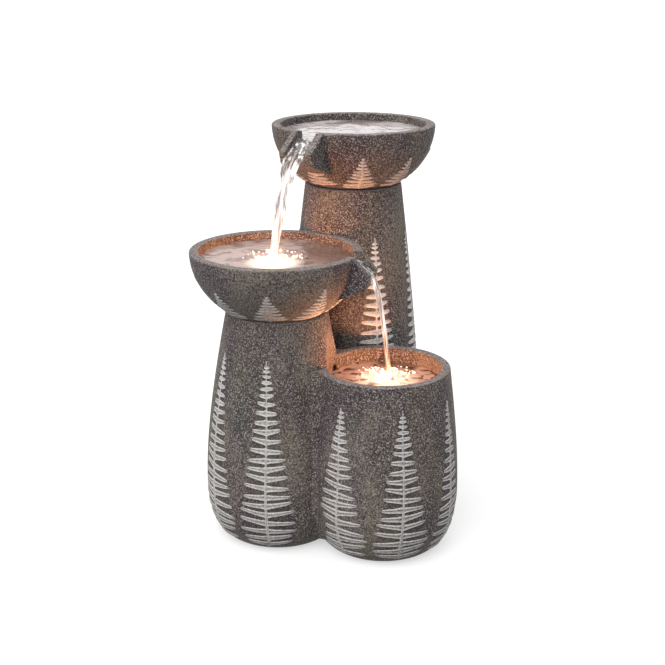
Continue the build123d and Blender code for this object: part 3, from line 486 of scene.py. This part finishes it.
class FernBed:
    """Ferns in low relief on one turned piece, all in one mesh."""

    def __init__(self, side, obstacles, seed):
        self.side = side
        self.obstacles = [solid_tree(node) for node in obstacles]
        self.bm = bmesh.new()
        self.paint = self.bm.verts.layers.float.new("brush")
        self.chance = random.Random(seed)

    def clear(self, azimuth, run, across):
        """True where the leaflet would lie on the open side of its own piece."""
        point, normal = self.side.place(azimuth, run, across, 0.0)
        hit = self.side.tree.ray_cast(point + normal * PROBE, -normal)[0]
        if hit is None or (hit - point).length > TOUCH:
            return False
        return not any(tree.find_nearest(point, PROBE)[0] for tree in self.obstacles)

    def strip(self, along_steps, shape):
        """Adds a grid strip whose points come from a function of along (0 to 1) and a section's line."""
        grid = bmesh.ops.create_grid(self.bm, x_segments=along_steps, y_segments=LAST_LINE, size=0.5)
        for vert in grid["verts"]:
            vert.co, vert[self.paint] = shape(vert.co.x + 0.5, round((vert.co.y + 0.5) * LAST_LINE))

    def leaflet(self, azimuth, run, hand, length, thickness, rise, inner_paint):
        """One leaflet: a tapered bar with a bright ridge along each edge, rooted in the stem."""
        while not all(
            self.clear(azimuth, run + rise * share * length, hand * share * length)
            for share in (0.3, 0.65, 1.0)
        ):
            length -= thickness
            if length < 2 * thickness:
                return

        def shape(along, line):
            line = line if hand > 0 else LAST_LINE - line
            width = thickness * (1 + ROOT_FLARE * (1 - along) ** 6) * math.sqrt(1 - TIP_TAPER * along**3)
            tip = along**8
            height = (SECTION_HEIGHTS[line] * (1 - tip) - TIP_SINK * tip) * MM
            paint = LEAFLET_PAINT[line]
            paint = inner_paint if paint is None else paint
            point, _ = self.side.place(
                azimuth,
                run + rise * along * length + SECTION_LINES[line] * width / 2,
                hand * along * length,
                height,
            )
            return point, paint * (1 - TIP_PAINT_LOSS * tip)

        self.strip(LEAFLET_STEPS, shape)

    def wash(self, azimuth, tip, foot, reach):
        """Dark wash left in the hollows between the leaflets, on the side just under them."""
        length = tip - foot
        if not all(
            self.clear(azimuth, foot + length * step / WASH_STEPS, line * reach(1 - step / WASH_STEPS))
            for step in range(WASH_STEPS)
            for line in (-1, -0.5, 0, 0.5, 1)
        ):
            return
        grid = bmesh.ops.create_grid(self.bm, x_segments=WASH_LINES, y_segments=WASH_STEPS, size=0.5)
        for vert in grid["verts"]:
            line, up = 2 * vert.co.x, vert.co.y + 0.5
            edge = max(abs(line), 2 * up - 1) ** 6
            vert.co, _ = self.side.place(
                azimuth,
                foot + length * up,
                line * WASH_REACH * reach(1 - up),
                (WASH_HEIGHT - WASH_DROP * edge) * MM,
            )
            vert[self.paint] = -WASH_DARKNESS * (1 - edge)

    def fern(self, azimuth, tip, foot, half_width, tip_pitch, pitch, inner_paint, narrowing, washed):
        """One frond from its tip down to its foot, both as runs along the side."""
        length = tip - foot
        weave = self.chance.uniform(*STEM_WEAVE) * MM

        def reach(share):
            """Length of the leaflets at a share of the way down from the tip."""
            opened = min(1.0, (share + TIP_BLUNTNESS) / WIDEST_SHARE)
            return half_width * opened * (1 - narrowing * smooth((share - FOOT_SHARE) / (1 - FOOT_SHARE)))

        def stem_shape(along, line):
            width = (STEM_TIP_WIDTH + (STEM_FOOT_WIDTH - STEM_TIP_WIDTH) * (1 - along)) * MM
            across = SECTION_LINES[line] * width + weave * math.sin(azimuth + STEM_WAVES * along)
            height = (SECTION_HEIGHTS[line] + STEM_LIFT) * MM
            # The stem's lines run from right to left, so that its faces point outwards
            point, _ = self.side.place(azimuth, foot + length * along, -across, height)
            paint = STEM_PAINT[line]
            return point, (inner_paint + STEM_EXTRA_PAINT if paint is None else paint)

        if washed:
            self.wash(azimuth, tip, foot, reach)
        if all(self.clear(azimuth, foot + share * length, 0) for share in (0.3, 0.7)):
            self.strip(STEM_STEPS, stem_shape)
        below = FIRST_LEAFLET * length
        step = 0
        while below < length:
            spacing = tip_pitch + (pitch - tip_pitch) * min(1.0, step / OPENING_LEAFLETS)
            share = below / length
            for hand in (1, -1):
                sway = math.sin(math.radians(azimuth) + SWAY_TURN * (2 * step + hand))
                self.leaflet(
                    azimuth,
                    tip - below,
                    hand,
                    reach(share) * self.chance.uniform(*LENGTH_SPREAD),
                    spacing * self.chance.uniform(*THICKNESS_SPREAD),
                    math.tan(math.radians(LEAFLET_RISE + LEAFLET_SWAY * sway)),
                    min(1.0, inner_paint + BRIGHT_PAINT * smooth(1 - share / BRIGHT_SHARE)),
                )
            below += spacing
            step += 1


def fern_piece(name, body, node, axis, clean, span, obstacles, ferns, seed, **habit):
    """Bed of ferns on a node: each is an azimuth, the heights of its tip and foot and a half width.

    The node's side is read at its clean azimuth, over a span of heights, all in millimetres.
    """
    side = TurnedSide(node, axis, clean, *span)
    bed = FernBed(side, obstacles, seed)
    for azimuth, tip, foot, half_width in ferns:
        bed.fern(azimuth, side.run_at(tip), side.run_at(foot), half_width * MM, **habit)
    piece = finish_piece(name, bed.bm, STONE, body, RELIEF_WALL)


COLUMN_HABIT = {"tip_pitch": 6 * MM, "pitch": 14 * MM, "narrowing": 0.22, "washed": True}
BOWL_HABIT = {"tip_pitch": 5 * MM, "pitch": 8.5 * MM, "narrowing": 0.0, "washed": False}

fern_piece(
    "left_column_fern_relief", "fountain", "left_column_casting", LEFT_AXIS, -110, (4, 345),
    ("rear_column_casting", "pot_casting", "web_casting", "middle_bowl"),
    [(azimuth, 292, 12, 46) for azimuth in (-7.5, -59, -110.5, -162)],
    seed=11, inner_paint=0.12, **COLUMN_HABIT,
)
fern_piece(
    "pot_fern_relief", "fountain", "pot_casting", POT_AXIS, 20, (4, 270),
    ("rear_column_casting", "left_column_casting", "web_casting"),
    [(-38, 240, 12, 46), (13, 240, 12, 46), (60, 240, 12, 37), (110, 240, 12, 46)],
    seed=23, inner_paint=0.0, **COLUMN_HABIT,
)
fern_piece(
    "rear_column_fern_relief", "fountain", "rear_column_casting", REAR_AXIS, 120, (4, 500),
    ("left_column_casting", "pot_casting", "web_casting", "middle_bowl", "access_door"),
    [(22, 430, 150, 46)] + [(azimuth, 430, 12, 46) for azimuth in (73, 124, -134, -83)],
    seed=37, inner_paint=0.45, **COLUMN_HABIT,
)
fern_piece(
    "top_bowl_fern_relief", "top_bowl", "top_bowl", REAR_AXIS, 145, (509.5, 590), (),
    [(-34 + 40 * turn, 559 + 3 * math.sin(2.1 * turn), 511, 27) for turn in range(9)],
    seed=41, inner_paint=0.2, **BOWL_HABIT,
)
fern_piece(
    "middle_bowl_fern_relief", "fountain", "middle_bowl", LEFT_AXIS, -90, (351.5, 432),
    ("rear_column_casting",),
    [(-4 + 41 * turn, 400 + 5 * math.sin(1.7 * turn), 353, 27) for turn in range(-4, 5)],
    seed=53, inner_paint=0.2, **BOWL_HABIT,
)

# Standing water: its depth, the pitch and fade of the rings, and the size and share of the chop
WATER_DEPTH = 2 * MM
RING_PITCH = 13 * MM
RING_FADE = 38 * MM
CHOP_SIZE = 16 * MM
CHOP_SHARE = 0.6


def water_surface(name, body, material, axis, level, radius, centre, swell):
    """Level water with rings that run out from where it is fed."""
    bm = bmesh.new()
    ends = [bm.verts.new((share * radius, 0, 0)) for share in (0, 1)]
    spoke = bm.edges.new(ends)
    bmesh.ops.subdivide_edges(bm, edges=[spoke], cuts=30)
    bmesh.ops.spin(
        bm, geom=list(bm.verts) + list(bm.edges), cent=(0, 0, 0), axis=UP, dvec=(0, 0, 0),
        angle=2 * math.pi, steps=96, use_merge=True,
    )
    bmesh.ops.remove_doubles(bm, verts=bm.verts, dist=MERGE_DISTANCE)
    bmesh.ops.recalc_face_normals(bm, faces=bm.faces)
    if sum(face.normal.z for face in bm.faces) < 0:
        bmesh.ops.reverse_faces(bm, faces=bm.faces)
    bmesh.ops.translate(bm, verts=bm.verts, vec=axis + Vector((0, 0, level)))
    for vert in bm.verts:
        away = (vert.co - centre).xy.length
        rings = math.cos(2 * math.pi * away / RING_PITCH) * math.exp(-away / RING_FADE)
        vert.co.z += swell * (rings + CHOP_SHARE * noise.noise(vert.co / CHOP_SIZE))
    finish_piece(name, bm, material, body, WATER_DEPTH, shadow=False)


# Water on a lip: where it starts behind the crest, its width, its depth in the channel, how far it may
# stand over the bowl's level, its wall, and the height and size of its ripple
LIP_RUN_START = 98 * MM
LIP_RUN_WIDTH = 33 * MM
LIP_RUN_DEPTH = 3.5 * MM
LIP_RUN_CROWN = 0.3 * MM
LIP_RUN_WALL = 1.5 * MM
LIP_RIPPLE = 0.5 * MM
LIP_RIPPLE_SIZE = 6 * MM
RAY_HEIGHT = 60 * MM


def lip_water(name, body, node, axis, way, tip, level):
    """Sheet that runs from the bowl over the crest and down the channel to the lip's tip."""
    tree = solid_tree(node)
    side = way.cross(UP)
    bm = bmesh.new()
    for vert in bmesh.ops.create_grid(bm, x_segments=26, y_segments=12, size=0.5)["verts"]:
        reach = LIP_RUN_START + (vert.co.x + 0.5) * (tip - LIP_RUN_START)
        across = vert.co.y * LIP_RUN_WIDTH
        floor = tree.ray_cast(axis + way * reach + Vector((0, 0, level + RAY_HEIGHT)), -UP)[0].z
        ripple = LIP_RIPPLE * noise.noise(Vector((reach, across, level)) / LIP_RIPPLE_SIZE)
        sheet = min(level + LIP_RUN_CROWN, floor + LIP_RUN_DEPTH) + ripple
        vert.co = axis + way * reach - side * across + Vector((0, 0, sheet))
    finish_piece(name, bm, LIP_WATER, body, LIP_RUN_WALL, shadow=False)


# A stream: the share of its drop that comes from its first speed, and the shares of its fall by which
# it has drawn in and its flat side has turned upright
FIRST_SPEED = 0.22
DRAWN_IN = 0.65
TURNED_DOWN = 0.4


def stream(name, start, end, way, widths, thickness, flute, phase, material):
    """Falling stream from the lip's tip to the water below: a wide sheet that draws in as it falls."""
    side = way.cross(UP)
    bm = bmesh.new()
    for vert in bmesh.ops.create_grid(bm, x_segments=28, y_segments=44, size=0.5)["verts"]:
        fall = 0.5 - vert.co.y
        turn = 2 * math.pi * (vert.co.x + 0.5)
        middle = start.lerp(end, fall)
        middle.z = start.z + (end.z - start.z) * (FIRST_SPEED * fall + (1 - FIRST_SPEED) * fall**2)
        drawn = smooth(fall / DRAWN_IN)
        half = (widths[0] + (widths[1] - widths[0]) * drawn) / 2
        thick = (thickness[0] + (thickness[1] - thickness[0]) * drawn) / 2
        # Three broad and five lesser flutes, which twist as they fall
        broad = math.sin(3 * turn + 4 * fall + phase)
        lesser = math.sin(5 * turn - 7 * fall)
        swell = 1 + flute * (broad + 0.6 * lesser)
        lean = UP.lerp(way, smooth(fall / TURNED_DOWN)).normalized()
        vert.co = middle + side * half * swell * math.cos(turn) + lean * thick * swell * math.sin(turn)
    bmesh.ops.remove_doubles(bm, verts=bm.verts, dist=MERGE_DISTANCE)
    bmesh.ops.holes_fill(bm, edges=[edge for edge in bm.edges if edge.is_boundary], sides=0)
    bmesh.ops.recalc_face_normals(bm, faces=bm.faces)
    return finish_piece(name, bm, material, shadow=False)


# A fall's strands: their mean width and its variation, how far they close up at the end, and the
# depth of the flutes in a sheet and in a strand
STRAND_WIDTH = 2.6 * MM
STRAND_VARIATION = 0.7 * MM
STRAND_CLOSING = 0.3
SHEET_FLUTE = 0.1
STRAND_FLUTE = 0.2


def falls(name, start, end, way, spread, sheet, sheet_thickness, count):
    """One pour: a clear sheet that draws in as it falls, and whiter strands that run down it."""
    across = way.cross(UP)
    pieces = [
        stream(f"{name}_sheet", start, end, way, sheet, sheet_thickness, SHEET_FLUTE, 0.5, SHEET_WATER)
    ]
    for index in range(count):
        shift = across * spread * (index / (count - 1) - 0.5)
        width = STRAND_WIDTH + STRAND_VARIATION * math.sin(2.3 * index)
        pieces.append(
            stream(
                f"{name}_strand_{index + 1}", start + shift, end + shift * STRAND_CLOSING, way,
                (1.5 * width, 1.1 * width), (width, width), STRAND_FLUTE, 1.7 * index, STRAND_WATER,
            )
        )
    return pieces


# Foam: the sizes of its bubbles, how much smaller they are at the edge, the lift of each as shares of
# its size, the heap in the middle and how much a bubble may be flattened
BUBBLE_SIZES = (1.2, 3.6)
BUBBLE_FULL = 1.15
BUBBLE_SHRINK = 0.6
BUBBLE_LIFT = (-0.3, 0.9)
FOAM_HEAP = 3 * MM
BUBBLE_SQUASH = (0.55, 1.0)


def foam(name, body, centre, reach, count, seed):
    """Bubbles and drops round the place where a stream lands, small and low towards the edge."""
    chance = random.Random(seed)
    bm = bmesh.new()
    for _ in range(count):
        away = reach * chance.random() ** 0.7
        turn = chance.uniform(0, 2 * math.pi)
        size = chance.uniform(*BUBBLE_SIZES) * MM * (BUBBLE_FULL - BUBBLE_SHRINK * away / reach)
        bubble = bmesh.ops.create_icosphere(bm, subdivisions=1, radius=size)["verts"]
        lift = chance.uniform(*BUBBLE_LIFT) * size + FOAM_HEAP * (1 - away / reach) ** 2
        place = centre + Vector((away * math.cos(turn), away * math.sin(turn), lift))
        bmesh.ops.scale(bm, verts=bubble, vec=(1, 1, chance.uniform(*BUBBLE_SQUASH)))
        bmesh.ops.translate(bm, verts=bubble, vec=place)
    finish_piece(name, bm, FOAM, body, shadow=False)


BOWL_WATER_RADIUS = 110.4 * MM
POT_WATER_RADIUS = 83.2 * MM
TIP_MARGIN = 2 * MM
UPPER_WAY = (LEFT_AXIS - REAR_AXIS).normalized()
LOWER_WAY = (POT_AXIS - LEFT_AXIS).normalized()
TOP_RUN_END = TOP_LIP_TIP - TIP_MARGIN
MIDDLE_RUN_END = MIDDLE_LIP_TIP - TIP_MARGIN
UPPER_START = REAR_AXIS + UPPER_WAY * TOP_RUN_END + Vector((0, 0, 565 * MM))
UPPER_LANDING = Vector((-75, -60, 427)) * MM
LOWER_START = LEFT_AXIS + LOWER_WAY * MIDDLE_RUN_END + Vector((0, 0, 406 * MM))
LOWER_LANDING = Vector((94, -92, 253)) * MM

water_surface(
    "top_bowl_water", "top_bowl", TOP_WATER, REAR_AXIS, TOP_LEVEL, BOWL_WATER_RADIUS,
    centre=REAR_AXIS, swell=0.9 * MM,
)
water_surface(
    "middle_bowl_water", "fountain", MIDDLE_WATER, LEFT_AXIS, MIDDLE_LEVEL, BOWL_WATER_RADIUS,
    centre=UPPER_LANDING, swell=1.2 * MM,
)
water_surface(
    "pot_water", "fountain", POT_WATER, POT_AXIS, POT_LEVEL, POT_WATER_RADIUS,
    centre=LOWER_LANDING, swell=1.3 * MM,
)
lip_water("top_lip_water", "top_bowl", "top_bowl", REAR_AXIS, UPPER_WAY, TOP_RUN_END, TOP_LEVEL)
lip_water(
    "middle_lip_water", "fountain", "middle_bowl", LEFT_AXIS, LOWER_WAY, MIDDLE_RUN_END, MIDDLE_LEVEL
)
for piece in falls(
    "upper_stream", UPPER_START, UPPER_LANDING, UPPER_WAY,
    spread=31 * MM, sheet=(36 * MM, 9 * MM), sheet_thickness=(4 * MM, 7 * MM), count=5,
):
    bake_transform(piece)
for piece in falls(
    "lower_stream", LOWER_START, LOWER_LANDING, LOWER_WAY,
    spread=20 * MM, sheet=(27 * MM, 14 * MM), sheet_thickness=(4 * MM, 6 * MM), count=3,
):
    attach(piece, "fountain")
foam("middle_bowl_foam", "fountain", UPPER_LANDING + Vector((0, -8, 1)) * MM, 44 * MM, count=70, seed=5)
foam("pot_foam", "fountain", LOWER_LANDING + Vector((-6, 2, 1)) * MM, 46 * MM, count=110, seed=9)


def add_light(name, kind, location, energy, colour, **settings):
    """Adds a light to the scene."""
    data = bpy.data.lights.new(name, kind)
    data.energy = energy
    data.color = linear(colour)[:3]
    for setting, value in settings.items():
        setattr(data, setting, value)
    light = bpy.data.objects.new(name, data)
    light.location = location
    bpy.context.scene.collection.objects.link(light)
    return light


# Soft studio light: a surround that is pale above and dark below, and a broad key from the front left
world = bpy.data.worlds.new("studio_surround")
world.use_nodes = True
surround = world.node_tree.nodes["Background"].inputs
surround["Color"].default_value = (1, 1, 1, 1)
height = add_node(world, "SeparateXYZ", {0: add_node(world, "TexCoord").outputs["Generated"]}).outputs["Z"]
paleness = add_node(
    world,
    "MapRange",
    {"Value": height, "From Min": -0.3, "From Max": -0.02, "To Min": 0.08, "To Max": 0.95},
).outputs[0]
drive(world, surround, Strength=paleness)
bpy.context.scene.world = world
key = add_light("key_sun", "SUN", (-2, -3, 4), 2.4, "#ffffff", angle=math.radians(70))
key.rotation_euler = (math.radians(48), 0, math.radians(-28))

# Warm lamps under the water, whose light passes through it to the castings round them
LAMP_COLOUR = "#ffa05e"
LAMP_SIZE = 18 * MM
MIDDLE_LAMP = LEFT_AXIS + Vector((0, 0, 402)) * MM
POT_LAMP = POT_AXIS + Vector((0, 0, 235)) * MM
add_light("middle_lamp", "POINT", MIDDLE_LAMP, 1.3, LAMP_COLOUR, shadow_soft_size=LAMP_SIZE)
add_light("pot_lamp", "POINT", POT_LAMP, 1.0, LAMP_COLOUR, shadow_soft_size=LAMP_SIZE)

# Beam over the pot's water, which stands for what the water sends on to the middle bowl's outside
BEAM_START = POT_AXIS + Vector((-10, 20, 262)) * MM
BEAM_TARGET = Vector((-10, -60, 395)) * MM
beam = add_light(
    "pot_lamp_beam", "SPOT", BEAM_START, 1.2, "#ffb887",
    shadow_soft_size=30 * MM, spot_size=math.radians(110), spot_blend=0.9,
)
beam.rotation_euler = (BEAM_TARGET - BEAM_START).to_track_quat("-Z", "Y").to_euler()

# Plain pale floor, out to the horizon. Backlit paper: mostly its own even white, so that the shadow on
# it stays faint
FLOOR_REACH = 40
floor_bm = bmesh.new()
bmesh.ops.create_grid(floor_bm, x_segments=1, y_segments=1, size=FLOOR_REACH)
paper = moulded(
    "backlit_paper_sweep", "#bdbdbd", "#b8b8b8", 400, 0.85, 0.1,
    Emission_Color=linear("#ffffff"), Emission_Strength=0.5,
)
floor = finish_piece("floor", floor_bm, paper)
floor.visible_diffuse = False

# Camera at the photograph's viewing angle, fitted to the rims, sides and feet
CAMERA_DIP = 17.67
camera_data = bpy.data.cameras.new("photo_camera")
camera_data.sensor_width = 36
camera_data.lens = 66.84
camera_data.clip_end = 200
camera = bpy.data.objects.new("photo_camera", camera_data)
camera.location = (0.0105, -1.7979, 0.8639)
camera.rotation_euler = (math.radians(90 - CAMERA_DIP), 0, 0)
bpy.context.scene.collection.objects.link(camera)
bpy.context.scene.camera = camera
bpy.context.scene.view_settings.view_transform = "Standard"
